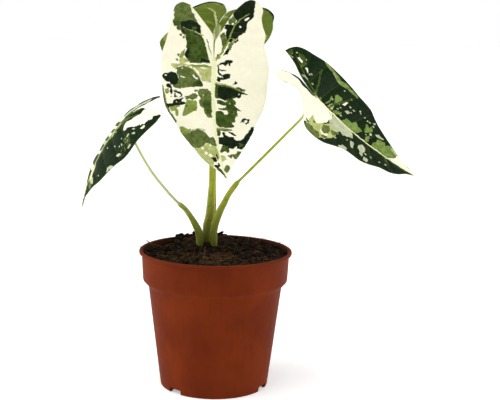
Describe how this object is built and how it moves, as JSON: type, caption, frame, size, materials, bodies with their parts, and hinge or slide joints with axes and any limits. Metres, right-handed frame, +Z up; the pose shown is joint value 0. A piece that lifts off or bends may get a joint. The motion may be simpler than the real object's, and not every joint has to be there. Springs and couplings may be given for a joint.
{
  "type": "potted variegated giant taro",
  "caption": "Young arrow-leaved aroid with cream and green marbled leaves on fleshy stalks, growing in a round plastic nursery pot of peaty mix.",
  "frame": {"origin": "centre of the pot's underside, on the surface it stands on", "axes": "+Z up through the pot; -Y towards the viewer, the side that the front leaf faces; +X towards the long right-hand leaf"},
  "size_m": [0.2564, 0.1628, 0.3022],
  "materials": {
    "pot_plastic": "satin",
    "peat_mix": "matte",
    "corm_skin": "matte",
    "stalk_skin": "satin",
    "pale_blade": "satin",
    "green_blade": "satin",
    "dark_blade": "satin"
  },
  "bodies": {
    "root": {"pot": "pot_plastic", "potting_mix": "peat_mix", "corm": "corm_skin", "stalk_front": "stalk_skin", "stalk_back": "stalk_skin", "stalk_left": "stalk_skin", "stalk_right": "stalk_skin", "blade_front": "pale_blade", "blade_back": "green_blade", "blade_left": "dark_blade", "blade_right": "dark_blade"}
  },
  "joints": []
}
